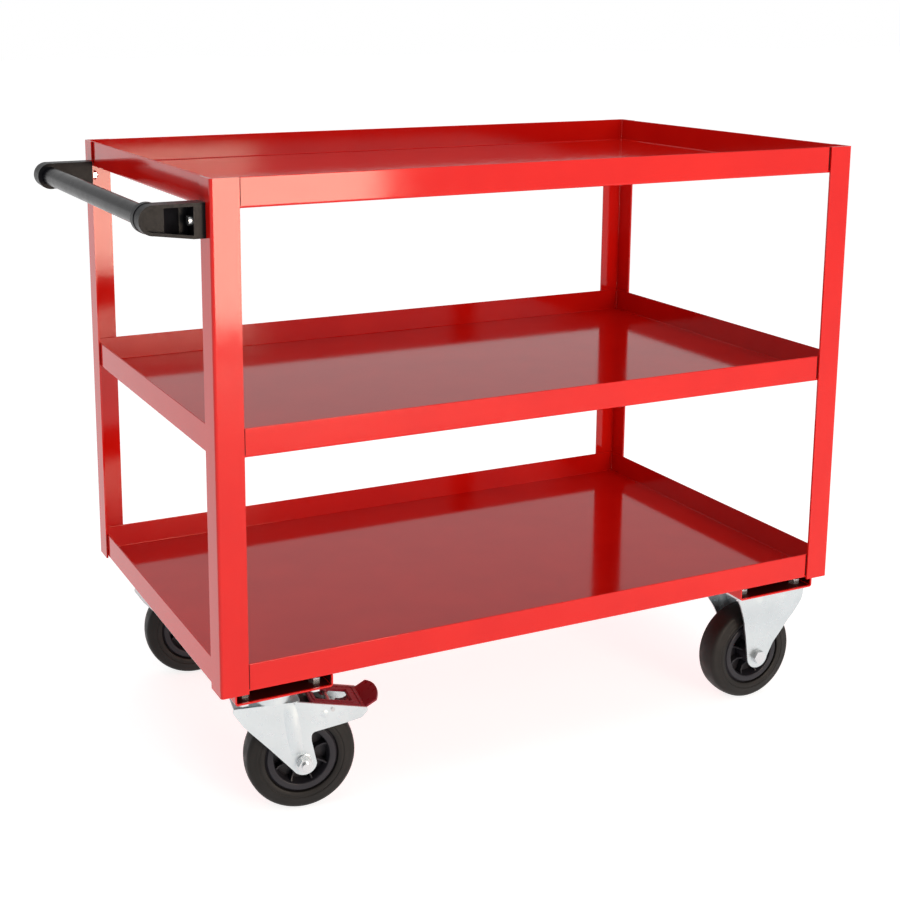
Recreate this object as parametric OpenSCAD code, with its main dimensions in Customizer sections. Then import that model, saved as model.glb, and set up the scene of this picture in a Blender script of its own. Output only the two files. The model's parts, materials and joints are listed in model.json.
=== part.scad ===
// Three-tray rolling tool trolley: four angle posts, three welded pans, a push
// handle on moulded brackets, two braked swivel casters and two fixed casters.
// X runs along the length with the handle at -X, Y across it, Z up from the floor.

/* [Frame] */
// Outer length over the posts
frame_len = 1040; // [900:10:1200]
// Outer width over the posts
frame_wid = 620; // [500:10:700]
// Length of each post
post_len = 700; // [600:10:800]
// Width of each leg of the post's angle section
leg = 40; // [35:1:50]
// Sheet thickness of the posts
post_t = 3; // [2:0.5:4]

/* [Trays] */
// Height of a tray's rim
rim = 40; // [30:1:60]
// Sheet thickness of the trays
pan_t = 2; // [1.5:0.5:3]
// How far the posts reach below the lowest tray
post_foot = 2; // [0:1:5]

/* [Handle] */
// Diameter of the grip tube
tube_d = 28; // [25:1:32]
// From the posts' face to the tube's axis
tube_reach = 68; // [60:1:80]
// From the top of the posts down to the tube's axis
tube_drop = 51; // [46:1:60]
// Width of a handle bracket, across the trolley
bracket_w = 28; // [24:1:32]

/* [Casters] */
// Wheel diameter
wheel_d = 160; // [150:5:160]
// Tread width
wheel_w = 43; // [38:1:44]
// Height of a caster from the floor to the top of its plate
caster_h = 196; // [194:1:200]
// Horizontal distance from the swivel axis to the wheel's axle
trail = 42; // [40:1:46]
// From the frame's handle end to the centre of a swivel caster's plate
swivel_end = 93; // [92:1:110]
// From the frame's other end to the centre of a fixed caster's plate
fixed_end = 98; // [92:1:110]
// From the frame's sides to the centre of a caster plate
caster_side = 66; // [62:1:75]
// Direction in which the front swivel caster trails
yaw_front = -10; // [-12:1:12]
// Direction in which the back swivel caster trails
yaw_back = -8; // [-12:1:12]

/* [Hidden] */
$fn = 48;
HEAD_PARTS = ["plate", "kingpin", "dust_ring", "fork", "lower_race", "balls"];
BRAKE_PARTS = ["pedal_pin", "pedal", "brake_shoe"];
WHEEL_PARTS = ["axle_bolt", "axle_nut", "bush", "rollers", "hub", "tyre"];

// Colours
red = [0.8, 0.02, 0.02];
maroon = [0.35, 0.03, 0.05];
zinc = [0.78, 0.8, 0.82];
black = [0.08, 0.08, 0.09];
rubber = [0.13, 0.12, 0.11];

// Heights
channel_h = 18;
channel_t = 2.5;
tray_z = caster_h + channel_h;
post_z = tray_z - post_foot;
top_z = post_z + post_len;
tray_top_z = top_z - rim;
tray_mid_z = (tray_z + tray_top_z) / 2;
axle_z = wheel_d / 2;

// The handle's brackets stand out past the posts, and the origin is the middle of it all
nose_r = 19.5;
collar_r = nose_r + 0.8;
handle_out = tube_reach + collar_r;
x_left = handle_out / 2 - frame_len / 2;
x_right = x_left + frame_len;
y_front = -frame_wid / 2;
y_back = frame_wid / 2;
bend_r = 4;

// Caster plate and its bolts
plate_l = 135;
plate_w = 110;
plate_t = 3.5;
bolt_x = 105;
bolt_y = 80;
bolt_r = 5;
bolt_hole_r = 5.25;
channel_w = 144;
x_swivel = x_left + swivel_end;
x_fixed = x_right - fixed_end;
y_plate = y_front + caster_side;

// Swivel head, from the plate down
pin_r = 8;
pin_hole_r = 8.05;
plate_z = caster_h - plate_t;
crown_t = 3.5;
crown_z = 169.5;
crown_top = crown_z + crown_t;
race_top = 185.2;
ball_r = 3.5;
ball_pitch_r = 27;
ball_count = 18;

// Fork
cheek_in = 33;
cheek_t = 3;
cheek_out = cheek_in + cheek_t;
axle_r = 6;
axle_hole_r = 6.1;
fixed_axle_shift = -10;

// Pedal
arm_start = 30;
arm_end = 134;
arm_fall = 21;
arm_slope = atan(arm_fall / (arm_end - arm_start));
pedal_pin_x = 84;
pedal_pin_z = 155.5;
pedal_pin_r = 3;
pedal_t = 2.5;

// Wheel
hub_ring_r = 50;
hub_w = 60;
bearing_r = 13;

module rounded_square(w, d, r) {
  union() {
    square([w - 2 * r, d], center = true);
    square([w, d - 2 * r], center = true);
    for (sx = [-1, 1], sy = [-1, 1])
      translate([sx * (w / 2 - r), sy * (d / 2 - r)]) circle(r);
  }
}

// ---------------------------------------------------------------- frame

// Angle post whose corner is the origin and whose legs run along +X and +Y
module post_section() {
  difference() {
    union() {
      translate([bend_r, 0]) square([leg - bend_r, post_t]);
      translate([0, bend_r]) square([post_t, leg - bend_r]);
      translate([bend_r, bend_r]) circle(bend_r);
    }
    translate([bend_r, bend_r]) circle(bend_r - post_t);
    translate([bend_r, post_t]) square([leg, leg]);
    translate([post_t, bend_r]) square([leg, leg]);
  }
}

module post(x, y, sx, sy) {
  color(red)
  translate([x, y, post_z])
  mirror([sx < 0 ? 1 : 0, 0, 0])
  mirror([0, sy < 0 ? 1 : 0, 0])
  linear_extrude(post_len) post_section();
}

pan_len = frame_len - 2 * post_t;
pan_wid = frame_wid - 2 * post_t;
pan_r = 2.5;

// Sheet-metal pan with its floor at the bottom of the rim
module tray(z) {
  color(red)
  translate([(x_left + x_right) / 2, 0, z])
  difference() {
    linear_extrude(rim) rounded_square(pan_len, pan_wid, pan_r);
    translate([0, 0, pan_t])
    linear_extrude(rim) rounded_square(pan_len - 2 * pan_t, pan_wid - 2 * pan_t, 0.6);
  }
}

// U-channel under the lowest tray, which carries the casters of one end
channel_gap = 4;
module channel(x) {
  color(red)
  translate([x, 0, caster_h])
  difference() {
    translate([-channel_w / 2, y_front + channel_gap, 0])
    cube([channel_w, frame_wid - 2 * channel_gap, channel_h]);
    translate([-channel_w / 2 + channel_t, y_front, channel_t])
    cube([channel_w - 2 * channel_t, frame_wid, channel_h]);
    for (y = [y_plate, -y_plate]) translate([0, y, 0]) plate_holes(channel_t);
  }
}

module plate_holes(h) {
  for (sx = [-1, 1], sy = [-1, 1])
    translate([sx * bolt_x / 2, sy * bolt_y / 2, -1]) cylinder(r = bolt_hole_r, h = h + 2);
}

// ---------------------------------------------------------------- handle

tube_z = top_z - tube_drop;
bracket_top = tube_z + nose_r;
bracket_bottom = bracket_top - 46;
bracket_y = 17;
root_t = 16;
handle_bolt_z = (bracket_top + bracket_bottom) / 2;
handle_bolt_y = 27;
handle_bolt_r = 4;
handle_hole_r = 4.2;
collar_w = 7;
socket_depth = 10;

// Side outline of a bracket: x grows away from the posts, z from the tube's axis
module bracket_outline(inset) {
  top = nose_r - inset;
  low = bracket_bottom - tube_z + inset;
  difference() {
    union() {
      translate([tube_reach, 0]) circle(nose_r - inset);
      polygon([[0, top], [tube_reach, top], [tube_reach, -top], [root_t, low], [0, low]]);
    }
    if (inset > 0) translate([-1, -60]) square([root_t + 1, 120]);
  }
}

// Bracket for the front side, with its pocket open to the front
module bracket() {
  color(black)
  translate([x_left, y_front + bracket_y, tube_z])
  mirror([1, 0, 0])
  difference() {
    union() {
      translate([0, bracket_w, 0]) rotate([90, 0, 0]) linear_extrude(bracket_w) bracket_outline(0);
      translate([tube_reach, bracket_w + collar_w, 0])
      rotate([90, 0, 0]) cylinder(r = collar_r, h = collar_w + 5);
    }
    // Pocket: shallow at the nose, deep at the root
    intersection() {
      translate([0, bracket_w, 0]) rotate([90, 0, 0]) linear_extrude(bracket_w + 1) bracket_outline(4.5);
      translate([0, 0, -60]) linear_extrude(120)
      polygon([[0, -2], [200, -2], [200, 9], [52, 9], [root_t + 12, bracket_w - 4], [0, bracket_w - 4]]);
    }
    // Socket for the tube
    translate([tube_reach, bracket_w + collar_w + 1, 0])
    rotate([90, 0, 0]) cylinder(r = tube_d / 2 + 0.05, h = collar_w + 1 + socket_depth);
    // Bolt hole through the root
    translate([-1, handle_bolt_y - bracket_y, handle_bolt_z - tube_z])
    rotate([0, 90, 0]) cylinder(r = handle_hole_r, h = root_t + 2);
  }
}

tube_end = bracket_y + bracket_w - socket_depth;
module handle_tube() {
  color(black)
  translate([x_left - tube_reach, y_front + tube_end, tube_z])
  rotate([-90, 0, 0])
  difference() {
    cylinder(r = tube_d / 2, h = frame_wid - 2 * tube_end);
    translate([0, 0, -1]) cylinder(r = tube_d / 2 - 2, h = frame_wid);
  }
}

module hex(af, h) {
  cylinder(r = af / sqrt(3), h = h, $fn = 6);
}

module handle_bolt(sy) {
  color(zinc)
  translate([x_left - root_t, sy * (y_front + handle_bolt_y), handle_bolt_z])
  rotate([0, 90, 0])
  union() {
    cylinder(r = handle_bolt_r, h = root_t + post_t + 9);
    translate([0, 0, -5]) cylinder(r = 6.5, h = 5);
  }
}

module handle_nut(sy) {
  color(zinc)
  translate([x_left + post_t, sy * (y_front + handle_bolt_y), handle_bolt_z])
  rotate([0, 90, 0])
  difference() {
    hex(13, 6.5);
    translate([0, 0, -1]) cylinder(r = handle_bolt_r, h = 9);
  }
}

// Posts with the hole that a handle bolt passes
module handle_post(sy) {
  difference() {
    post(x_left, sy * y_front, 1, sy);
    translate([x_left - 1, sy * (y_front + handle_bolt_y), handle_bolt_z])
    rotate([0, 90, 0]) cylinder(r = handle_hole_r, h = post_t + 2);
  }
}

// ---------------------------------------------------------------- caster hardware

module each_plate() {
  for (x = [x_swivel, x_fixed], sy = [-1, 1], bx = [-1, 1], by = [-1, 1])
    translate([x + bx * bolt_x / 2, sy * y_plate + by * bolt_y / 2, 0]) children();
}

module plate_bolts() {
  color(zinc)
  each_plate()
  union() {
    translate([0, 0, plate_z]) cylinder(r = bolt_r, h = 18);
    translate([0, 0, plate_z - 6.4]) hex(16, 6.4);
  }
}

module plate_nuts() {
  color(zinc)
  each_plate()
  translate([0, 0, caster_h + channel_t])
  difference() {
    hex(16, 8);
    translate([0, 0, -1]) cylinder(r = bolt_r, h = 10);
  }
}

// Everything of a swivel caster is drawn with its swivel axis on the Z axis and
// its wheel trailing along +X
module at_swivel(sy) {
  translate([x_swivel, -sy * y_front - sy * caster_side, 0]) children();
}

module turned(sy) {
  at_swivel(sy) rotate([0, 0, sy < 0 ? yaw_front : yaw_back]) children();
}

module swivel_plate(sy) {
  color(zinc)
  at_swivel(sy)
  difference() {
    translate([0, 0, plate_z]) linear_extrude(plate_t) rounded_square(plate_l, plate_w, 8);
    translate([0, 0, plate_z]) plate_holes(plate_t);
    translate([0, 0, plate_z - 1]) cylinder(r = pin_r + 0.02, h = 10);
    translate([0, 0, caster_h - 1.8]) cylinder(r = 12.05, h = 3);
  }
}

module kingpin(sy) {
  color(zinc)
  at_swivel(sy)
  union() {
    translate([0, 0, crown_z - 6]) cylinder(r = pin_r, h = caster_h - crown_z + 6);
    translate([0, 0, caster_h - 1.8]) cylinder(r = 12, h = 1.8);
    translate([0, 0, crown_z - 6]) hex(22, 5.7);
  }
}

// Skirt under the plate that covers the ball race
module dust_ring(sy) {
  color(zinc)
  at_swivel(sy)
  difference() {
    translate([0, 0, plate_z - 9]) cylinder(r = 42, h = 9);
    translate([0, 0, plate_z - 10]) cylinder(r = 39.5, h = 11);
  }
}

module lower_race(sy) {
  color(zinc)
  turned(sy)
  difference() {
    translate([0, 0, crown_top]) cylinder(r = 38, h = race_top - crown_top);
    translate([0, 0, crown_top - 1]) cylinder(r = 18, h = race_top - crown_top + 2);
  }
}

module balls(sy) {
  color(zinc)
  turned(sy)
  for (i = [0 : ball_count - 1])
    rotate([0, 0, i * 360 / ball_count])
    translate([ball_pitch_r, 0, race_top + ball_r + 0.05]) sphere(ball_r);
}

// Side outline of a swivel fork's cheek: x along the trail, z up
nose = 18.5;
notch_r = 7;
module cheek_outline() {
  difference() {
    union() {
      translate([trail, axle_z]) circle(nose);
      polygon([
        [-56, crown_top], [-58, crown_top - 5], [-43, 145], [-7, 107], [trail - 16, axle_z - 9],
        [trail, axle_z], [trail + nose, axle_z - 2], [trail + 11, 112], [trail + 11, 124],
        [110, 134], [126, 137.5], [135, 147], [arm_end, crown_top - arm_fall],
        [arm_start, crown_top]]);
      translate([trail + 11, 124 - notch_r]) square(notch_r);
    }
    translate([trail + 11 + notch_r, 124 - notch_r]) circle(notch_r);
  }
}

module swivel_fork(sy) {
  color(zinc)
  turned(sy)
  difference() {
    union() {
      for (s = [-1, 1])
        translate([0, s * (cheek_in + cheek_t / 2) + cheek_t / 2, 0])
        rotate([90, 0, 0]) linear_extrude(cheek_t) cheek_outline();
      translate([0, 0, crown_z]) cylinder(r = 40, h = crown_t);
      translate([-56, -cheek_in - 1, crown_z]) cube([96, 2 * cheek_in + 2, crown_t]);
    }
    translate([0, 0, crown_z - 1]) cylinder(r = pin_hole_r, h = 10);
    translate([trail, 50, axle_z]) rotate([90, 0, 0]) cylinder(r = axle_hole_r, h = 100);
    translate([pedal_pin_x, 50, pedal_pin_z]) rotate([90, 0, 0]) cylinder(r = pedal_pin_r, h = 100);
  }
}

module pedal_pin(sy) {
  color(zinc)
  turned(sy)
  translate([pedal_pin_x, cheek_out + 1, pedal_pin_z])
  rotate([90, 0, 0]) cylinder(r = pedal_pin_r, h = 2 * cheek_out + 2);
}

// The pedal lies along the falling arm, its plate between the cheeks
pedal_half = cheek_in - 1;
pedal_from = 24;
pedal_to = 105;
pedal_drop = pedal_t + 0.5;
window_from = 34;
window_to = 86;
window_half = 17;
tab_bend = 30 + arm_slope;
tab_len = 28;
tab_r = 62;
ear_y = 27;
ear_r = 7.5;
ear_up = 4.7;
module arm_frame() {
  translate([arm_start, 0, crown_top]) rotate([0, arm_slope, 0]) children();
}

// Plate and foot tab are one bent strip, drawn from the side
module pedal_strip() {
  run = (tab_len + 2) * cos(tab_bend);
  rise = (tab_len + 2) * sin(tab_bend) - pedal_drop;
  polygon([
    [pedal_from, -pedal_drop], [pedal_to, -pedal_drop], [pedal_to + run, rise],
    [pedal_to + run - pedal_t * sin(tab_bend), rise + pedal_t * cos(tab_bend)],
    [pedal_to - pedal_t * tan(tab_bend / 2), pedal_t - pedal_drop],
    [pedal_from, pedal_t - pedal_drop]]);
}

// Ear that hangs on the pin, its top inside the plate
module pedal_ear() {
  rotate(-arm_slope)
  union() {
    difference() {
      circle(ear_r);
      translate([-ear_r - 1, 1]) square([2 * ear_r + 2, ear_r]);
    }
    translate([-ear_r, 0]) square([2 * ear_r, ear_up]);
  }
}

module pedal(sy) {
  color(maroon)
  turned(sy)
  difference() {
    union() {
      // The tab's outer edge is a shallow arc
      arm_frame()
      intersection() {
        translate([0, pedal_half, 0])
        rotate([90, 0, 0]) linear_extrude(2 * pedal_half) pedal_strip();
        translate([pedal_to, 0, -pedal_drop])
        rotate([0, -tab_bend, 0])
        translate([tab_len - tab_r, 0, -80]) cylinder(r = tab_r, h = 160);
      }
      for (s = [-1, 1])
        translate([pedal_pin_x, s * ear_y + pedal_t / 2, pedal_pin_z])
        rotate([90, 0, 0]) linear_extrude(pedal_t) pedal_ear();
    }
    translate([pedal_pin_x, 50, pedal_pin_z])
    rotate([90, 0, 0]) cylinder(r = pedal_pin_r + 0.05, h = 100);
    arm_frame()
    translate([window_from, -window_half, -6])
    cube([window_to - window_from, 2 * window_half, 12]);
  }
}

// Sprung steel strip that hangs from the pedal behind its window and is pressed on the tread
shoe_half = 13;
module brake_shoe(sy) {
  color(zinc)
  turned(sy)
  arm_frame()
  translate([0, shoe_half, 0])
  rotate([90, 0, 0])
  linear_extrude(2 * shoe_half)
  polygon([
    [102, -3], [93, -3], [88, -6], [84, -9.5], [79, -11], [72, -11],
    [72, -13], [80, -13], [85.5, -11.2], [89.5, -7.7], [94, -5], [102, -5]]);
}

// Side outline and cross-section of a fixed fork, whose cheeks slope in from the plate's sides
fixed_nose = 20;
module fixed_outline() {
  union() {
    translate([fixed_axle_shift, axle_z]) circle(fixed_nose);
    polygon([
      [-65, caster_h], [-65, 188], [-56, 168], [-44, 145], [-36, 122],
      [fixed_axle_shift - fixed_nose, axle_z + 12], [fixed_axle_shift - fixed_nose, axle_z],
      [fixed_axle_shift + fixed_nose, axle_z], [fixed_axle_shift + 31, axle_z + 19],
      [41, 122], [55, 147], [63, 172], [65, caster_h]]);
  }
}

lean_y = 52;
lean_top = 184;
lean_low = 120;
module fixed_section(o) {
  polygon([
    [-lean_y + o, caster_h - o], [-lean_y + o, lean_top], [-cheek_out + o, lean_low],
    [-cheek_out + o, 40], [cheek_out - o, 40], [cheek_out - o, lean_low],
    [lean_y - o, lean_top], [lean_y - o, caster_h - o]]);
}

module fixed_fork(sy) {
  color(zinc)
  translate([x_fixed, sy * -y_plate, 0])
  difference() {
    union() {
      intersection() {
        translate([0, 60, 0]) rotate([90, 0, 0]) linear_extrude(120) fixed_outline();
        translate([-80, 0, 0]) rotate([90, 0, 90]) linear_extrude(160)
        difference() {
          fixed_section(0);
          fixed_section(cheek_t);
          translate([-cheek_in, 0]) square([2 * cheek_in, 60]);
        }
      }
      translate([0, 0, plate_z]) linear_extrude(plate_t) rounded_square(plate_l, plate_w, 8);
    }
    translate([0, 0, plate_z]) plate_holes(plate_t);
    translate([fixed_axle_shift, 60, axle_z]) rotate([90, 0, 0]) cylinder(r = axle_hole_r, h = 120);
  }
}

// ---------------------------------------------------------------- wheel and axle

// Places a wheel's own frame: the axle along Y, the head of its bolt at -Y
module at_wheel(c) {
  if (c == "front_left") turned(-1) translate([trail, 0, axle_z]) children();
  if (c == "back_left") turned(1) translate([trail, 0, axle_z]) children();
  if (c == "front_right") translate([x_fixed + fixed_axle_shift, y_plate, axle_z]) children();
  if (c == "back_right") translate([x_fixed + fixed_axle_shift, -y_plate, axle_z]) children();
}

module spun() {
  rotate([90, 0, 0]) children();
}

// The axle bolt's head is outside on the fixed casters and inside on the swivel ones
module bolt_frame(c) {
  flip = (c == "front_left" || c == "back_right") ? 1 : 0;
  color(zinc) at_wheel(c) mirror([0, flip, 0]) spun() children();
}

thread_out = 16;
module axle_bolt(c) {
  bolt_frame(c)
  union() {
    translate([0, 0, -cheek_out - thread_out]) cylinder(r = axle_r, h = 2 * cheek_out + thread_out);
    translate([0, 0, cheek_out]) hex(19, 7.5);
  }
}

module axle_nut(c) {
  bolt_frame(c)
  translate([0, 0, -cheek_out - 12])
  difference() {
    union() {
      hex(19, 10.5);
      translate([0, 0, 10]) cylinder(r = 12, h = 2);
    }
    translate([0, 0, -1]) cylinder(r = axle_r, h = 20);
  }
}

tyre_in = 53;
shoulder_r = 8;
module tyre(c) {
  hw = wheel_w / 2;
  ro = wheel_d / 2;
  color(rubber)
  at_wheel(c)
  spun()
  rotate_extrude($fn = 96)
  union() {
    polygon([
      [tyre_in, -hw + 2], [tyre_in + 6, -hw], [66, -hw], [68, -hw + 1.2], [70, -hw + 1.2],
      [ro - shoulder_r, -hw + 1.8], [ro - 1.5, -hw + shoulder_r + 1.8], [ro, 0],
      [ro - 1.5, hw - shoulder_r - 1.8], [ro - shoulder_r, hw - 1.8], [70, hw - 1.2],
      [68, hw - 1.2], [66, hw], [tyre_in + 6, hw], [tyre_in, hw - 2]]);
    for (s = [-1, 1])
      translate([ro - shoulder_r - 1.4, s * (hw - shoulder_r - 1.8)]) circle(shoulder_r);
  }
}

ribs = 8;
module hub(c) {
  color(black)
  at_wheel(c)
  spun()
  difference() {
    union() {
      // Rim ring under the tyre
      rotate_extrude($fn = 96)
      polygon([
        [40, -19], [42, -20.5], [hub_ring_r, -20.5], [hub_ring_r, -18], [tyre_in, -16.5],
        [tyre_in, 16.5], [hub_ring_r, 18], [hub_ring_r, 20.5], [42, 20.5], [40, 19],
        [38.5, 3], [38.5, -3]]);
      cylinder(r = 39.5, h = 4, center = true);
      cylinder(r = bearing_r + 5, h = hub_w, center = true);
      for (i = [0 : ribs - 1])
        rotate([0, 0, i * 360 / ribs + 22.5])
        translate([bearing_r + 3, -1.25, -13]) cube([24.5, 2.5, 26]);
    }
    cylinder(r = bearing_r, h = hub_w + 2, center = true);
  }
}

roller_count = 12;
roller_r = 1.95;
roller_len = 40;
bush_r = 9;
module rollers(c) {
  color(zinc)
  at_wheel(c)
  spun()
  for (i = [0 : roller_count - 1])
    rotate([0, 0, i * 360 / roller_count])
    translate([(bush_r + bearing_r) / 2, 0, 0]) cylinder(r = roller_r, h = roller_len, center = true);
}

// Sleeve on the axle bolt, clamped between the cheeks, that the rollers run on
module bush(c) {
  color(zinc)
  at_wheel(c)
  spun()
  difference() {
    cylinder(r = bush_r, h = 2 * cheek_in, center = true);
    cylinder(r = axle_r, h = 2 * cheek_in + 2, center = true);
  }
}

// ---------------------------------------------------------------- the nodes

handle_post(1);  // post_front_left
post(x_right, y_front, -1, 1);  // post_front_right
handle_post(-1);  // post_back_left
post(x_right, y_back, -1, -1);  // post_back_right
tray(tray_top_z);  // tray_top
tray(tray_mid_z);  // tray_middle
tray(tray_z);  // tray_bottom
channel(x_swivel);  // caster_channel_left
channel(x_fixed);  // caster_channel_right
bracket();  // handle_bracket_front
mirror([0, 1, 0]) bracket();  // handle_bracket_back
handle_tube();
for (s = [-1, 1]) handle_bolt(s);  // handle_bolts
for (s = [-1, 1]) handle_nut(s);  // handle_nuts
plate_bolts();
plate_nuts();
for (s = [-1, 1]) {
  c = s < 0 ? "front_left" : "back_left";
  swivel_plate(s);
  kingpin(s);
  dust_ring(s);
  swivel_fork(s);
  lower_race(s);
  balls(s);
  pedal_pin(s);
  pedal(s);
  brake_shoe(s);
}
fixed_fork(-1);  // front_right_fork
fixed_fork(1);  // back_right_fork
for (c = ["front_left", "back_left", "front_right", "back_right"]) {
  axle_bolt(c);
  axle_nut(c);
  bush(c);
  rollers(c);
  hub(c);
  tyre(c);
}
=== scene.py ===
"""Three-tray rolling tool trolley: red powder-coated frame, black push handle, zinc-plated casters."""
import json
import math
import bmesh
import bpy
import numpy as np
from mathutils import Matrix, Vector
from mathutils.geometry import tessellate_polygon


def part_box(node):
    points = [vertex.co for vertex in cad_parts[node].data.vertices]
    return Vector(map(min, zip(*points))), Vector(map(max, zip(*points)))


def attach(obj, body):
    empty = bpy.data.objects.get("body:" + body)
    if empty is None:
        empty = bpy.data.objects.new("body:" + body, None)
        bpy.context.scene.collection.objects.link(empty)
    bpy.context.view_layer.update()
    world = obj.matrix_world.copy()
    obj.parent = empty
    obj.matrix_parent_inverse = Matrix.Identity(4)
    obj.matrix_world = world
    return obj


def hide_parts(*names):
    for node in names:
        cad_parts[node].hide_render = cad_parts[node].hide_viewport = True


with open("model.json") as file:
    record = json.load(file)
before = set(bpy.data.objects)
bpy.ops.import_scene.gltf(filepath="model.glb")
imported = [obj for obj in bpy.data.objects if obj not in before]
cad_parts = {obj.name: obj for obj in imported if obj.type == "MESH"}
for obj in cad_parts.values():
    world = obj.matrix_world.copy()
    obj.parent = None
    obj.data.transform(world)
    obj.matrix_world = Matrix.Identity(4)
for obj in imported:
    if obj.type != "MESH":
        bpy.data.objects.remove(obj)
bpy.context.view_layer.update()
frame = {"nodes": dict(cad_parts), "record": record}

MM = 0.001
RECORD = frame["record"]
JOINTS = {j["name"]: j for j in RECORD["behaviour"]["joints"]}
SIDES = ("front", "back")
CORNERS = ("front_left", "back_left", "front_right", "back_right")


# ---------------------------------------------------------------- materials

def new_material(name):
    """A node material, its Principled shader, and a maker of linked nodes."""
    material = bpy.data.materials.new(name)
    material.use_nodes = True
    tree = material.node_tree
    shader = tree.nodes["Principled BSDF"]
    coords = tree.nodes.new("ShaderNodeTexCoord")

    def node(kind, inputs=(), **settings):
        made = tree.nodes.new("ShaderNode" + kind)
        for key, value in settings.items():
            setattr(made, key, value)
        for socket, value in inputs:
            if isinstance(value, bpy.types.NodeSocket):
                tree.links.new(value, made.inputs[socket])
            else:
                made.inputs[socket].default_value = value
        return made

    return material, shader, coords.outputs["Object"], node, tree.links.new


def noise(node, where, scale, detail=3.0, rough=0.55):
    return node("TexNoise", [("Vector", where), ("Scale", scale), ("Detail", detail),
                             ("Roughness", rough)]).outputs["Fac"]


def between(node, fac, low, high, start=0.3, end=0.7):
    """A number that runs from low to high as fac runs from start to end."""
    return node("MapRange", [("Value", fac), ("From Min", start), ("From Max", end),
                             ("To Min", low), ("To Max", high)]).outputs["Result"]


def tint(node, fac, low, high):
    """A colour that runs from low to high as fac runs from 0.3 to 0.7."""
    ramp = node("ValToRGB", [("Fac", fac)])
    ramp.color_ramp.elements[0].position = 0.3
    ramp.color_ramp.elements[1].position = 0.7
    ramp.color_ramp.elements[0].color = (*low, 1)
    ramp.color_ramp.elements[1].color = (*high, 1)
    return ramp.outputs["Color"]


def bump(node, height, strength, distance=0.001):
    return node("Bump", [("Height", height), ("Strength", strength),
                         ("Distance", distance)]).outputs["Normal"]


def enamel(name, dark, light, rough, gloss, peel):
    """Powder coat or enamel: a slight drift in colour and gloss, and orange peel."""
    material, shader, where, node, link = new_material(name)
    drift = noise(node, where, 9, 2)
    skin = noise(node, where, 420, 2)
    dust = noise(node, where, 2600, 1)
    link(tint(node, drift, dark, light), shader.inputs["Base Color"])
    link(between(node, noise(node, where, 60, 4), rough * 0.8, rough * 1.25),
         shader.inputs["Roughness"])
    grain = node("Math", [(0, skin), (1, node("Math", [(0, dust), (1, 0.12)],
                 operation="MULTIPLY").outputs[0])], operation="ADD")
    link(bump(node, grain.outputs[0], peel), shader.inputs["Normal"])
    shader.inputs["Specular IOR Level"].default_value = gloss
    return material


def plated(name, dark, light, rough, brushed=0.0):
    """Zinc plate or bare steel: a faint cloud of tint, a soft sheen and, if brushed, fine lines."""
    material, shader, where, node, link = new_material(name)
    cloud = noise(node, where, 14, 2)
    link(tint(node, cloud, dark, light), shader.inputs["Base Color"])
    link(between(node, noise(node, where, 160, 4), rough * 0.75, rough * 1.3),
         shader.inputs["Roughness"])
    stretched = node("Mapping", [("Vector", where), ("Scale", (1.0, 14.0, 1.0))])
    fine = noise(node, stretched.outputs["Vector"], 900, 2)
    link(bump(node, fine, brushed, 0.0002), shader.inputs["Normal"])
    shader.inputs["Metallic"].default_value = 0.9
    return material


def moulded(name, dark, light, rough, gloss, texture):
    """Moulded plastic with a fine spark-eroded grain."""
    material, shader, where, node, link = new_material(name)
    link(tint(node, noise(node, where, 30, 3), dark, light), shader.inputs["Base Color"])
    link(between(node, noise(node, where, 240, 3), rough * 0.85, rough * 1.15),
         shader.inputs["Roughness"])
    grain = node("TexVoronoi", [("Vector", where), ("Scale", 1500)])
    link(bump(node, grain.outputs["Distance"], texture, 0.0005), shader.inputs["Normal"])
    shader.inputs["Specular IOR Level"].default_value = gloss
    return material


def rubber(name):
    """Solid rubber: dull, slightly mottled, with a dusty bloom."""
    material, shader, where, node, link = new_material(name)
    bloom = noise(node, where, 45, 6, 0.65)
    link(tint(node, bloom, (0.008, 0.007, 0.006), (0.015, 0.013, 0.012)),
         shader.inputs["Base Color"])
    link(between(node, noise(node, where, 90, 4), 0.42, 0.62), shader.inputs["Roughness"])
    link(bump(node, noise(node, where, 1400, 3), 0.12, 0.0004), shader.inputs["Normal"])
    shader.inputs["Specular IOR Level"].default_value = 0.22
    return material


MATERIALS = {
    "red_powder_coat": enamel("red_coat", (0.57, 0.005, 0.003), (0.62, 0.008, 0.004),
                              0.09, 0.35, 0.02),
    "black_enamel": enamel("black_coat", (0.003, 0.003, 0.004), (0.006, 0.006, 0.008),
                           0.22, 0.10, 0.02),
    "maroon_enamel": enamel("maroon_coat", (0.18, 0.007, 0.018), (0.22, 0.010, 0.024),
                            0.28, 0.35, 0.06),
    "zinc_plate": plated("zinc", (0.54, 0.59, 0.61), (0.60, 0.65, 0.67), 0.32),
    "bright_fasteners": plated("bright_zinc", (0.56, 0.58, 0.60), (0.66, 0.68, 0.69), 0.22),
    "bare_steel": plated("steel", (0.40, 0.41, 0.42), (0.56, 0.57, 0.57), 0.28, 0.1),
    "black_plastic": moulded("bracket_plastic", (0.004, 0.004, 0.005), (0.008, 0.008, 0.010),
                             0.34, 0.11, 0.06),
    "hub_plastic": moulded("wheel_plastic", (0.014, 0.013, 0.017), (0.022, 0.021, 0.026),
                           0.38, 0.25, 0.10),
    "tyre_rubber": rubber("rubber"),
    # Near-black red coat that paints shade inside the channels and the shadow beside each leg
    "painted_shade": enamel("painted_shade", (0.030, 0.001, 0.001), (0.045, 0.002, 0.002), 0.6, 0.1, 0.02)}
SLOT_OF = {s["node"]: s["material_slot"] for s in RECORD["subparts"]}


# ---------------------------------------------------------------- mesh tools

def standing(sign=1):
    """Stands local XY up as X and Z, with local Z along sign times Y."""
    return Matrix(((1, 0, 0, 0), (0, 0, sign, 0), (0, 1, 0, 0), (0, 0, 0, 1)))


UPRIGHT = standing()


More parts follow.
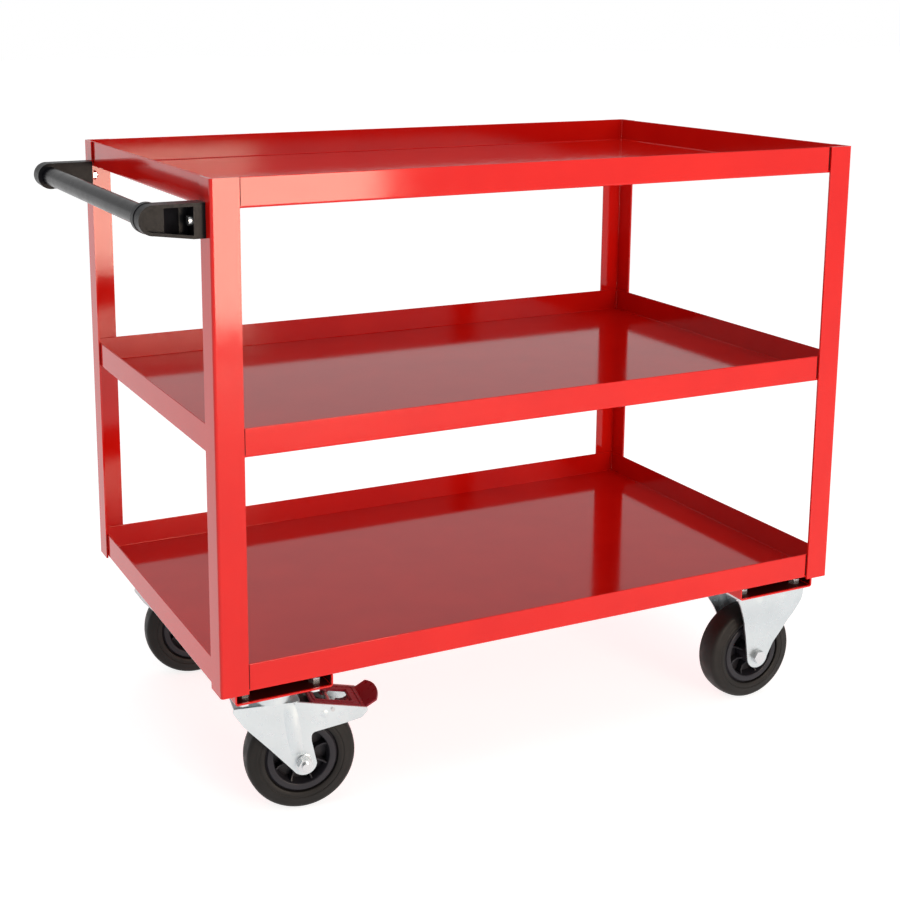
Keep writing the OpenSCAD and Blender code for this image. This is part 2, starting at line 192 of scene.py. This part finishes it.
def arc(cx, cy, r, start, end, steps=8):
    """Points of an arc, with its angles in degrees."""
    return [(cx + r * math.cos(math.radians(start + (end - start) * i / steps)),
             cy + r * math.sin(math.radians(start + (end - start) * i / steps)))
            for i in range(steps + 1)]


def rounded(corners, steps=7):
    """Closed outline through corners (x, y, radius), each rounded by its radius."""
    loop = []
    count = len(corners)
    for i, (x, y, r) in enumerate(corners):
        here = Vector((x, y))
        to_last = (Vector(corners[i - 1][:2]) - here).normalized()
        to_next = (Vector(corners[(i + 1) % count][:2]) - here).normalized()
        if r <= 0:
            loop.append((x, y))
            continue
        half = to_last.angle(to_next) / 2
        reach = r / math.tan(half)
        centre = here + (to_last + to_next).normalized() * (r / math.sin(half))
        first = here + to_last * reach - centre
        turn = first.angle_signed(here + to_next * reach - centre)
        for k in range(steps + 1):
            spoke = first.copy()
            spoke.rotate(Matrix.Rotation(-turn * k / steps, 2))
            loop.append(tuple(centre + spoke))
    return loop


def add_slab(bm, loops, low, high, place=Matrix()):
    """Solid between two heights of local Z, with outline loops[0] and holes loops[1:]."""
    flat = [p for loop in loops for p in loop]
    bottom = [bm.verts.new(place @ Vector((x, y, low))) for x, y in flat]
    top = [bm.verts.new(place @ Vector((x, y, high))) for x, y in flat]
    for a, b, c in tessellate_polygon([[Vector((x, y, 0)) for x, y in loop] for loop in loops]):
        bm.faces.new((bottom[a], bottom[b], bottom[c]))
        bm.faces.new((top[c], top[b], top[a]))
    start = 0
    for loop in loops:
        for i in range(len(loop)):
            a, b = start + i, start + (i + 1) % len(loop)
            bm.faces.new((bottom[a], bottom[b], top[b], top[a]))
        start += len(loop)


def add_lathe(bm, profile, place=Matrix(), steps=96, closed=True):
    """Solid turned about local Z from points (radius, height). An open profile ends on the axis."""
    rings = []
    for r, z in profile:
        if r < 1e-7:
            rings.append([bm.verts.new(place @ Vector((0, 0, z)))] * steps)
            continue
        rings.append([bm.verts.new(place @ Vector((r * math.cos(math.tau * i / steps),
                                                   r * math.sin(math.tau * i / steps), z)))
                      for i in range(steps)])
    pairs = list(zip(rings, rings[1:] + rings[:1])) if closed else list(zip(rings, rings[1:]))
    for one, two in pairs:
        for i in range(steps):
            j = (i + 1) % steps
            corners = list(dict.fromkeys((one[i], one[j], two[j], two[i])))
            if len(corners) > 2:
                bm.faces.new(corners)


def rectangle(x0, y0, x1, y1):
    """Outline of a rectangle between two opposite corners, in either order."""
    (x0, x1), (y0, y1) = sorted((x0, x1)), sorted((y0, y1))
    return [(x0, y0), (x1, y0), (x1, y1), (x0, y1)]


def finish_mesh(bm, name):
    bmesh.ops.recalc_face_normals(bm, faces=bm.faces)
    mesh = bpy.data.meshes.new(name)
    bm.to_mesh(mesh)
    bm.free()
    return mesh


def smooth(obj, edge=0.0, segments=2, angle=35):
    """Rounds the hard edges by edge metres and shades the rest smooth."""
    for polygon in obj.data.polygons:
        polygon.use_smooth = True
    if edge:
        bevel = obj.modifiers.new("edges", "BEVEL")
        bevel.width = edge
        bevel.segments = segments
        bevel.limit_method = "ANGLE"
        bevel.angle_limit = math.radians(angle)
        bevel.use_clamp_overlap = True
        bevel.miter_outer = "MITER_ARC"
    if not edge:
        obj.data.set_sharp_from_angle(angle=math.radians(angle))
    weights = obj.modifiers.new("shading", "WEIGHTED_NORMAL")
    weights.keep_sharp = True
    weights.weight = 80


def piece(bm, name, body, slot, nodes=(), edge=0.0, segments=2, angle=35, finish=None):
    """Object from bm that rides on body and stands for nodes, in its slot's or its own finish."""
    obj = bpy.data.objects.new(name, finish_mesh(bm, name))
    bpy.context.collection.objects.link(obj)
    obj.data.materials.append(MATERIALS[finish or slot])
    smooth(obj, edge, segments, angle)
    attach(obj, body)
    if nodes:
        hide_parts(*nodes)
    return obj


def keep_node(node, edge, segments=2, angle=35):
    """A CAD node that stays, with rounded edges and its finish."""
    obj = frame["nodes"][node]
    obj.data.materials.clear()
    obj.data.materials.append(MATERIALS[SLOT_OF[node]])
    smooth(obj, edge, segments, angle)


# ---------------------------------------------------------------- frame

TRAY_LOW, TRAY_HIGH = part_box("tray_top")
RIM = TRAY_HIGH.z - TRAY_LOW.z
SHEET = 2 * MM
PAN_CORNER = 2.6 * MM
PAN_BEND = 3.2 * MM


def rim_ring(low, high, inset, z, corner, steps=6):
    """Rounded rectangle inset from a tray's box, as points at height z."""
    x0, x1 = low.x + inset, high.x - inset
    y0, y1 = low.y + inset, high.y - inset
    r = max(corner - inset, 0.5 * MM)
    ring = []
    for cx, cy, start in ((x1 - r, y1 - r, 0), (x0 + r, y1 - r, 90),
                          (x0 + r, y0 + r, 180), (x1 - r, y0 + r, 270)):
        ring += [(x, y, z) for x, y in arc(cx, cy, r, start, start + 90, steps)]
    return ring


def tray_profile(z0):
    """A pan's section as (inset from the outer face, height): bends, wall and rolled rim edge."""
    outer = [(PAN_BEND - PAN_BEND * math.cos(a), z0 + PAN_BEND - PAN_BEND * math.sin(a))
             for a in (math.radians(90 - 15 * i) for i in range(7))]
    edge = SHEET / 2
    lip = [(edge - edge * math.cos(a), z0 + RIM - edge + edge * math.sin(a))
           for a in (math.radians(22.5 * i) for i in range(9))]
    bend = PAN_BEND - SHEET
    inner = [(SHEET + bend - bend * math.cos(a), z0 + SHEET + bend - bend * math.sin(a))
             for a in (math.radians(22.5 * i) for i in range(5))]
    return outer + lip + inner


def tray(node):
    low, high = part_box(node)
    bm = bmesh.new()
    rings = [[bm.verts.new(p) for p in rim_ring(low, high, inset, z, PAN_CORNER)]
             for inset, z in tray_profile(low.z)]
    count = len(rings[0])
    for one, two in zip(rings, rings[1:]):
        for i in range(count):
            j = (i + 1) % count
            bm.faces.new((one[i], one[j], two[j], two[i]))
    bm.faces.new(rings[0][::-1])
    bm.faces.new(rings[-1])
    piece(bm, node + "_pan", "trolley", "red_powder_coat", [node], angle=60)
    weld_beads(node, low, high)


def weld_beads(node, low, high):
    """Wavy weld bead up the inside of each corner of a tray."""
    bm = bmesh.new()
    rng = np.random.default_rng(len(node))
    off, steps, ripple = SHEET + 0.4 * MM, 40, 4
    for sx in (0, 1):
        for sy in (0, 1):
            x = low.x + off if sx == 0 else high.x - off
            y = low.y + off if sy == 0 else high.y - off
            profile = [(0, low.z + SHEET)]
            for i in range(steps + 1):
                z = low.z + SHEET + (RIM - SHEET - 1.2 * MM) * i / steps
                wave = 0.5 + 0.5 * math.cos(math.tau * i / ripple)
                profile.append(((1.9 + 0.7 * wave + 0.25 * rng.random()) * MM, z))
            profile.append((0, profile[-1][1] + 0.8 * MM))
            add_lathe(bm, profile, Matrix.Translation((x, y, 0)), 14, closed=False)
    piece(bm, "weld_beads_" + node, "trolley", "red_powder_coat", angle=70)


def channel(node):
    """U-section folded from sheet, open upwards against the lowest tray."""
    low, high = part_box(node)
    t, r = 2.5 * MM, 4.5 * MM
    outline = rounded([
        (low.x, high.z, 0), (low.x, low.z, r), (high.x, low.z, r), (high.x, high.z, 0),
        (high.x - t, high.z, 0), (high.x - t, low.z + t, r - t),
        (low.x + t, low.z + t, r - t), (low.x + t, high.z, 0)])
    bm = bmesh.new()
    add_slab(bm, [outline], low.y, high.y, UPRIGHT)
    piece(bm, node + "_fold", "trolley", "red_powder_coat", [node], edge=0.4 * MM, angle=50)
    # Inside the section a thin dark lining, set in from the ends, paints the shade of the channel's
    # recess
    skin, set_in = 0.25 * MM, 3 * MM
    x0, x1, z0, z1 = low.x + t, high.x - t, low.z + t, high.z - 0.3 * MM
    bm = bmesh.new()
    lining = [(x0, z1), (x0, z0), (x1, z0), (x1, z1), (x1 - skin, z1), (x1 - skin, z0 + skin),
              (x0 + skin, z0 + skin), (x0 + skin, z1)]
    add_slab(bm, [lining], low.y + set_in, high.y - set_in, UPRIGHT)
    piece(bm, node + "_shade_lining", "trolley", "red_powder_coat", angle=50, finish="painted_shade")


def seam_shadows():
    """Painted shadow: dark strip on each tray's rim beside every leg, on both outer faces."""
    bm = bmesh.new()
    wide, deep, inset = 2.2 * MM, 0.25 * MM, 0.6 * MM
    for level in ("top", "middle", "bottom"):
        low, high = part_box(f"tray_{level}")
        z0, z1 = low.z + inset + PAN_BEND, high.z - inset
        for side in SIDES:
            for end in ("left", "right"):
                leg_low, leg_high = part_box(f"post_{side}_{end}")
                inward = 1 if end == "left" else -1
                x = leg_high.x if end == "left" else leg_low.x
                y = low.y if side == "front" else high.y
                out = -1 if side == "front" else 1
                add_slab(bm, [rectangle(x, y, x + inward * wide, y + out * deep)], z0, z1)
                y = leg_high.y if side == "front" else leg_low.y
                x = low.x if end == "left" else high.x
                add_slab(bm, [rectangle(x, y, x - inward * deep, y - out * wide)], z0, z1)
    piece(bm, "leg_seam_shadows", "trolley", "red_powder_coat", angle=50, finish="painted_shade")


for side in SIDES:
    for end in ("left", "right"):
        keep_node(f"post_{side}_{end}", 0.5 * MM)
seam_shadows()
for level in ("top", "middle", "bottom"):
    tray(f"tray_{level}")
for end in ("left", "right"):
    channel(f"caster_channel_{end}")


# ---------------------------------------------------------------- handle

def grip_tube():
    low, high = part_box("handle_tube")
    r = (high.z - low.z) / 2
    centre = (low + high) / 2
    half = (high.y - low.y) / 2
    wall = 2 * MM
    chamfer = 0.5 * MM
    bm = bmesh.new()
    profile = [(r - wall, -half), (r - chamfer, -half), (r, -half + chamfer),
               (r, half - chamfer), (r - chamfer, half), (r - wall, half)]
    add_lathe(bm, profile, Matrix.Translation(centre) @ Matrix.Rotation(math.pi / 2, 4, "X"), 96)
    piece(bm, "grip_tube", "trolley", "black_enamel", ["handle_tube"], angle=40)


grip_tube()
for side in SIDES:
    keep_node(f"handle_bracket_{side}", 1.2 * MM, 3, 40)
for node in ("handle_bolts", "handle_nuts", "plate_bolts", "plate_nuts"):
    keep_node(node, 0.45 * MM)


# ---------------------------------------------------------------- casters

def wheel_place(corner):
    """Wheel frame: origin on the axle, local Z along the axle."""
    joint = JOINTS[corner + "_wheel_roll"]
    along = Vector(joint["axis"])
    yaw = math.atan2(-along.x, along.y)
    return (Matrix.Translation(joint["pos_m"]) @ Matrix.Rotation(yaw, 4, "Z")
            @ Matrix.Rotation(math.pi / 2, 4, "X"))


def half_depth(node):
    """Half of a fixed wheel part's depth; the fixed wheels run straight along X."""
    low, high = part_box(node)
    return (high.y - low.y) / 2


TYRE_HALF = half_depth("front_right_tyre")
HUB_HALF = half_depth("front_right_hub")


def tyre(corner):
    """Crowned tread, rounded shoulders and moulded rings on each sidewall."""
    low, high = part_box("front_right_tyre")
    ro = (high.z - low.z) / 2
    side = [(53, 2.1), (54, 1.0), (56.5, 0.4), (58, 0), (60, 0), (60.7, 0.8), (61.6, 0.8),
            (62.3, 0), (65.5, 0.1), (66.3, 1.1), (70, 1.4)]
    outer = [(r * MM, TYRE_HALF - d * MM) for r, d in side]
    shoulder = 8.5 * MM
    outer += [(ro - 1.2 * MM - shoulder + shoulder * math.sin(a),
               TYRE_HALF - 1.6 * MM - shoulder + shoulder * math.cos(a))
              for a in (math.radians(10 * i) for i in range(9))]
    outer += [(ro - 0.45 * MM, 7 * MM), (ro - 0.1 * MM, 3.5 * MM), (ro, 0)]
    bm = bmesh.new()
    add_lathe(bm, outer + [(r, -z) for r, z in outer[-2::-1]], wheel_place(corner), 144)
    piece(bm, corner + "_tyre_moulding", corner + "_wheel", "tyre_rubber", [corner + "_tyre"],
          angle=50)


def hub(corner):
    """Moulded wheel centre: rim band with a flange lip, web, boss and ribs on both faces."""
    place = wheel_place(corner)
    bm = bmesh.new()
    t, b = TYRE_HALF / MM, HUB_HALF / MM
    half = [(38.4, 3.2), (39.2, 12), (40.2, t - 3), (41, t - 1.8), (42.2, t - 1.1),
            (48.6, t - 1.1), (49.8, t - 1.8), (50, t - 3.2), (51, t - 4), (52.9, t - 5)]
    rim = [(r * MM, z * MM) for r, z in half]
    add_lathe(bm, rim + [(r, -z) for r, z in rim[::-1]], place, 128)
    web = [(17.5, 2.2), (38.9, 2.2)]
    add_lathe(bm, [(r * MM, z * MM) for r, z in web + [(r, -z) for r, z in web[::-1]]], place, 96)
    boss = [(13.0, b - 0.6), (13.6, b), (16.4, b), (17.2, b - 0.8), (17.8, 16), (18.6, 2)]
    boss = [(r * MM, z * MM) for r, z in boss]
    add_lathe(bm, boss + [(r, -z) for r, z in boss[::-1]], place, 64)
    ribs = 8
    for i in range(ribs):
        turn = place @ Matrix.Rotation(math.tau * (i + 0.5) / ribs, 4, "Z")
        for flip in (1, -1):
            rib = [(16.5, 1.5), (39.2, 1.5), (39.6, 17), (34, 13.5), (25, 13), (17.5, 19)]
            stand = turn @ Matrix(((1, 0, 0, 0), (0, 0, 1, 0), (0, flip, 0, 0), (0, 0, 0, 1)))
            add_slab(bm, [[(x * MM, y * MM) for x, y in rib]], -1.25 * MM, 1.25 * MM, stand)
    piece(bm, corner + "_wheel_centre", corner + "_wheel", "hub_plastic", [corner + "_hub"],
          edge=0.35 * MM, segments=1, angle=40)


# Swivel fork, in millimetres from the swivel axis at floor level
CHEEK_IN, CHEEK_OUT = 33, 36
CROWN_LOW, CROWN_HIGH = 169.5, 173
TRAIL, AXLE_Z, NOSE = 42, 80, 18.5
ARM_START, ARM_SLOPE = 30, math.atan2(21, 104)


def swivel_place(corner):
    """Swivel frame: origin under the kingpin on the floor, X along the fork."""
    joint = JOINTS[corner + "_swivel_turn"]
    along = Vector(JOINTS[corner + "_wheel_roll"]["axis"])
    x, y = joint["pos_m"][:2]
    return (Matrix.Translation((x, y, 0)) @ Matrix.Rotation(math.atan2(-along.x, along.y), 4, "Z")
            @ Matrix.Scale(MM, 4))


def add_emboss(bm, centre, length, width, height, turn, place):
    """Soft pressed bulge: a lens on local XY that rises along Z from just inside the sheet."""
    across, along = 14, 20
    spin = Matrix.Rotation(math.radians(turn), 4, "Z")
    stand = place @ Matrix.Translation(centre) @ spin
    top, low = [], []
    for i in range(along + 1):
        for j in range(across + 1):
            u, v = 2 * i / along - 1, 2 * j / across - 1
            swell = (math.cos(u * math.pi / 2) * math.cos(v * math.pi / 2)) ** 0.8
            x, y = u * length / 2, v * width / 2 * (1 - 0.35 * u * u)
            top.append(bm.verts.new(stand @ Vector((x, y, height * swell))))
            low.append(bm.verts.new(stand @ Vector((x, y, -0.8))))
    row = across + 1
    for i in range(along):
        for j in range(across):
            a = i * row + j
            bm.faces.new((top[a], top[a + 1], top[a + row + 1], top[a + row]))
            bm.faces.new((low[a], low[a + row], low[a + row + 1], low[a + 1]))
    rim = ([j for j in range(row)] + [i * row + across for i in range(1, along + 1)]
           + [along * row + j for j in range(across - 1, -1, -1)]
           + [i * row for i in range(along - 1, 0, -1)])
    for a, b in zip(rim, rim[1:] + rim[:1]):
        bm.faces.new((top[a], low[a], low[b], top[b]))


def swivel_fork(corner):
    """Two pressed cheeks under a round crown, with a pressed rib down each cheek."""
    place = swivel_place(corner)
    nose = [(x, z, 0) for x, z in arc(TRAIL, AXLE_Z, NOSE, 212, 352, 18)]
    cheek = rounded([(-56, CROWN_HIGH, 1.2), (-58, 167.5, 4), (-43, 145, 14), (-7, 107, 40)] + nose
                    + [(53, 112, 10), (53, 124, 7), (110, 134, 40), (126, 137.5, 9),
                       (135, 147, 4), (134, 152, 2), (ARM_START, CROWN_HIGH, 20)])
    bm = bmesh.new()
    for low, high in ((CHEEK_IN, CHEEK_OUT), (-CHEEK_OUT, -CHEEK_IN)):
        add_slab(bm, [cheek], low, high, place @ UPRIGHT)
    hole = arc(0, 0, 8.1, 0, 360, 32)[:-1]
    disc = rounded([(-56, -34, 2), (38, -34, 6), (38, 34, 6), (-56, 34, 2)])
    add_slab(bm, [disc, hole[::-1]], CROWN_LOW, CROWN_HIGH, place)
    piece(bm, corner + "_pressed_fork", corner + "_swivel", "zinc_plate", [corner + "_fork"],
          edge=0.9 * MM, segments=3, angle=40)
    bm = bmesh.new()
    for sign in (1, -1):
        face = place @ Matrix.Translation((0, sign * CHEEK_OUT, 0)) @ standing(sign)
        add_emboss(bm, (27, 132, 0), 78, 22, 2.4, 98, face)
        add_emboss(bm, (72, 150, 0), 11, 11, 0.8, 0, face)
    piece(bm, corner + "_fork_ribs", corner + "_swivel", "zinc_plate", angle=60)


def pedal_borders(corner):
    """Raised borders pressed round the pedal's edge and its window."""
    place = (swivel_place(corner) @ Matrix.Translation((ARM_START, 0, CROWN_HIGH))
             @ Matrix.Rotation(ARM_SLOPE, 4, "Y"))
    bm = bmesh.new()
    for x0, x1, half, wide, corner_r in ((24.6, 101, 31.4, 2.6, 4), (29.5, 90.5, 21.5, 2.4, 4)):
        loops = []
        for inset in (0, wide):
            a, b, h, r = x0 + inset, x1 - inset, half - inset, corner_r - inset / 2
            loops.append(rounded([(a, -h, r), (b, -h, r), (b, h, r), (a, h, r)]))
        add_slab(bm, [loops[0], loops[1][::-1]], -1.2, 0.4, place)
    piece(bm, corner + "_pedal_borders", corner + "_brake", "maroon_enamel", edge=0.5 * MM,
          angle=40)


CHEEK_SHEET = CHEEK_OUT - CHEEK_IN
PLATE_LOW, PLATE_HIGH = 192.5, 196
FIXED_SHIFT, FIXED_NOSE = -10, 20


def add_fixed_cheek(bm, outline, out, place):
    """Cheek whose outer face stands at out(x, z) from the middle; rows follow the outline."""
    top = max(z for _, z in outline)
    low = min(z for _, z in outline)
    rows, columns = 90, 30
    faces = {}
    for k in range(rows + 1):
        # The first and last rows stay just inside the outline, where it has a width
        z = min(max(top - (top - low) * (k / rows), low + 0.05), top - 0.01)
        xs = []
        for (x0, z0), (x1, z1) in zip(outline, outline[1:] + outline[:1]):
            if (z0 - z) * (z1 - z) < 0:
                xs.append(x0 + (x1 - x0) * (z - z0) / (z1 - z0))
        for c in range(columns + 1):
            x = min(xs) + (max(xs) - min(xs)) * c / columns
            for depth, y in enumerate((out(x, z), out(x, z) - CHEEK_SHEET)):
                faces[depth, k, c] = bm.verts.new(place @ Vector((x, y, z)))
    for k in range(rows):
        for c in range(columns):
            for depth in (0, 1):
                bm.faces.new((faces[depth, k, c], faces[depth, k, c + 1],
                              faces[depth, k + 1, c + 1], faces[depth, k + 1, c]))
    for c in range(columns):
        for k in (0, rows):
            bm.faces.new((faces[0, k, c], faces[0, k, c + 1], faces[1, k, c + 1], faces[1, k, c]))
    for k in range(rows):
        for c in (0, columns):
            bm.faces.new((faces[0, k, c], faces[0, k + 1, c], faces[1, k + 1, c], faces[1, k, c]))


def ease(t):
    t = min(max(t, 0), 1)
    return t * t * (3 - 2 * t)


def lean(x, z):
    """Outer face of a fixed cheek: it leans out towards the plate, with two pressed ribs."""
    ribs = math.exp(-((x - 27) / 7) ** 2) + math.exp(-((x + 20) / 7) ** 2)
    rib_rise = 1.6 * ease((z - 104) / 34) * ease((PLATE_HIGH - z) / 16)
    return CHEEK_OUT + 16 * ease((z - 118) / 68) + rib_rise * ribs


def fixed_fork(corner):
    """Pressed fork of a fixed caster: leaning cheeks under a bolted plate."""
    low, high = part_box(corner + "_fork")
    place = (Matrix.Translation(((low.x + high.x) / 2, (low.y + high.y) / 2, 0))
             @ Matrix.Scale(MM, 4))
    nose = [(x, z, 0) for x, z in arc(FIXED_SHIFT, AXLE_Z, FIXED_NOSE, 188, 352, 20)]
    outline = rounded([(-65, 194, 0), (-65, 188, 8), (-56, 168, 20), (-44, 145, 60), (-36, 122, 60)]
                      + nose + [(21, 99, 22), (41, 122, 60), (55, 147, 60), (63, 172, 30),
                                (65, 194, 0)])
    bm = bmesh.new()
    for sign in (1, -1):
        add_fixed_cheek(bm, outline, lean, place @ Matrix.Scale(sign, 4, (0, 1, 0)))
    plate = rounded([(-67.5, -55, 8), (67.5, -55, 8), (67.5, 55, 8), (-67.5, 55, 8)])
    add_slab(bm, [plate], PLATE_LOW, PLATE_HIGH, place)
    piece(bm, corner + "_pressed_fork", "trolley", "zinc_plate", [corner + "_fork"],
          edge=0.7 * MM, segments=2, angle=50)


for corner in CORNERS:
    tyre(corner)
    hub(corner)
    for part in ("axle_bolt", "axle_nut"):
        keep_node(f"{corner}_{part}", 0.5 * MM)
    for part in ("bush", "rollers"):
        keep_node(f"{corner}_{part}", 0.2 * MM, 1)
for corner in ("front_left", "back_left"):
    swivel_fork(corner)
    pedal_borders(corner)
    for part, edge in (("plate", 0.6), ("kingpin", 0.4), ("dust_ring", 0.5), ("lower_race", 0.8),
                       ("pedal_pin", 0.4), ("pedal", 0.7), ("brake_shoe", 0.3)):
        keep_node(f"{corner}_{part}", edge * MM)
    keep_node(f"{corner}_balls", 0)
for corner in ("front_right", "back_right"):
    fixed_fork(corner)


# ---------------------------------------------------------------- stage, lights and camera

FLOOR_GLOW = 0.8
ROOM = 0.4


def floor():
    size = 30.0
    bm = bmesh.new()
    bmesh.ops.create_grid(bm, x_segments=1, y_segments=1, size=size)
    obj = bpy.data.objects.new("floor", finish_mesh(bm, "floor"))
    bpy.context.collection.objects.link(obj)
    material, shader, where, node, link = new_material("floor")
    link(tint(node, noise(node, where, 3, 2), (0.48, 0.48, 0.48), (0.52, 0.52, 0.52)),
         shader.inputs["Base Color"])
    shader.inputs["Roughness"].default_value = 0.8
    shader.inputs["Specular IOR Level"].default_value = 0.1
    shader.inputs["Emission Color"].default_value = (1, 1, 1, 1)
    shader.inputs["Emission Strength"].default_value = FLOOR_GLOW
    obj.data.materials.append(material)


def studio():
    """White sweep low down behind the trolley (+Y), a dimmer room above and in front."""
    world = bpy.data.worlds.new("studio")
    world.use_nodes = True
    tree = world.node_tree
    coords = tree.nodes.new("ShaderNodeTexCoord")
    split = tree.nodes.new("ShaderNodeSeparateXYZ")
    tree.links.new(coords.outputs["Generated"], split.inputs[0])
    level = None
    for axis, start, end, low, high in (("Y", -0.6, 0.6, ROOM, 1.0), ("Z", 0.02, 0.09, 1.0, 0.62)):
        ramp = tree.nodes.new("ShaderNodeMapRange")
        for name, value in (("From Min", start), ("From Max", end), ("To Min", low),
                            ("To Max", high)):
            ramp.inputs[name].default_value = value
        tree.links.new(split.outputs[axis], ramp.inputs["Value"])
        if level is None:
            level = ramp.outputs["Result"]
        else:
            product = tree.nodes.new("ShaderNodeMath")
            product.operation = "MULTIPLY"
            tree.links.new(level, product.inputs[0])
            tree.links.new(ramp.outputs["Result"], product.inputs[1])
            level = product.outputs[0]
    background = tree.nodes["Background"]
    background.inputs["Color"].default_value = (1, 1, 1, 1)
    tree.links.new(level, background.inputs["Strength"])
    bpy.context.scene.world = world


def softbox(name, place, target, width, height, power, colour=(1, 1, 1)):
    light = bpy.data.lights.new(name, "AREA")
    light.shape = "RECTANGLE"
    light.size = width
    light.size_y = height
    light.energy = power
    light.color = colour
    obj = bpy.data.objects.new(name, light)
    obj.location = place
    aim = Vector(target) - Vector(place)
    obj.rotation_euler = aim.to_track_quat("-Z", "Y").to_euler()
    bpy.context.collection.objects.link(obj)


floor()
studio()
softbox("key_overhead", (-0.4, -0.6, 3.4), (0, 0, 0.4), 2.4, 2.0, 30)
softbox("front_soft", (1.0, -3.6, 1.9), (0, 0, 0.5), 3.4, 2.4, 34)
softbox("strip_front_left", (0.60, -3.0, 0.70), (-0.4, -0.3, 0.70), 0.8, 1.2, 46,
        (1, 0.80, 0.62))

camera = bpy.data.objects.new("camera", bpy.data.cameras.new("camera"))
bpy.context.collection.objects.link(camera)
camera.location = (-1.0738, -2.0771, 1.1227)
camera.rotation_euler = (math.radians(90 - 11.33), 0, math.radians(-25.45))
camera.data.sensor_width = 36
camera.data.lens = 59.62
camera.data.shift_x = 0.072
camera.data.shift_y = -0.161
bpy.context.scene.camera = camera
bpy.context.scene.view_settings.view_transform = "Standard"
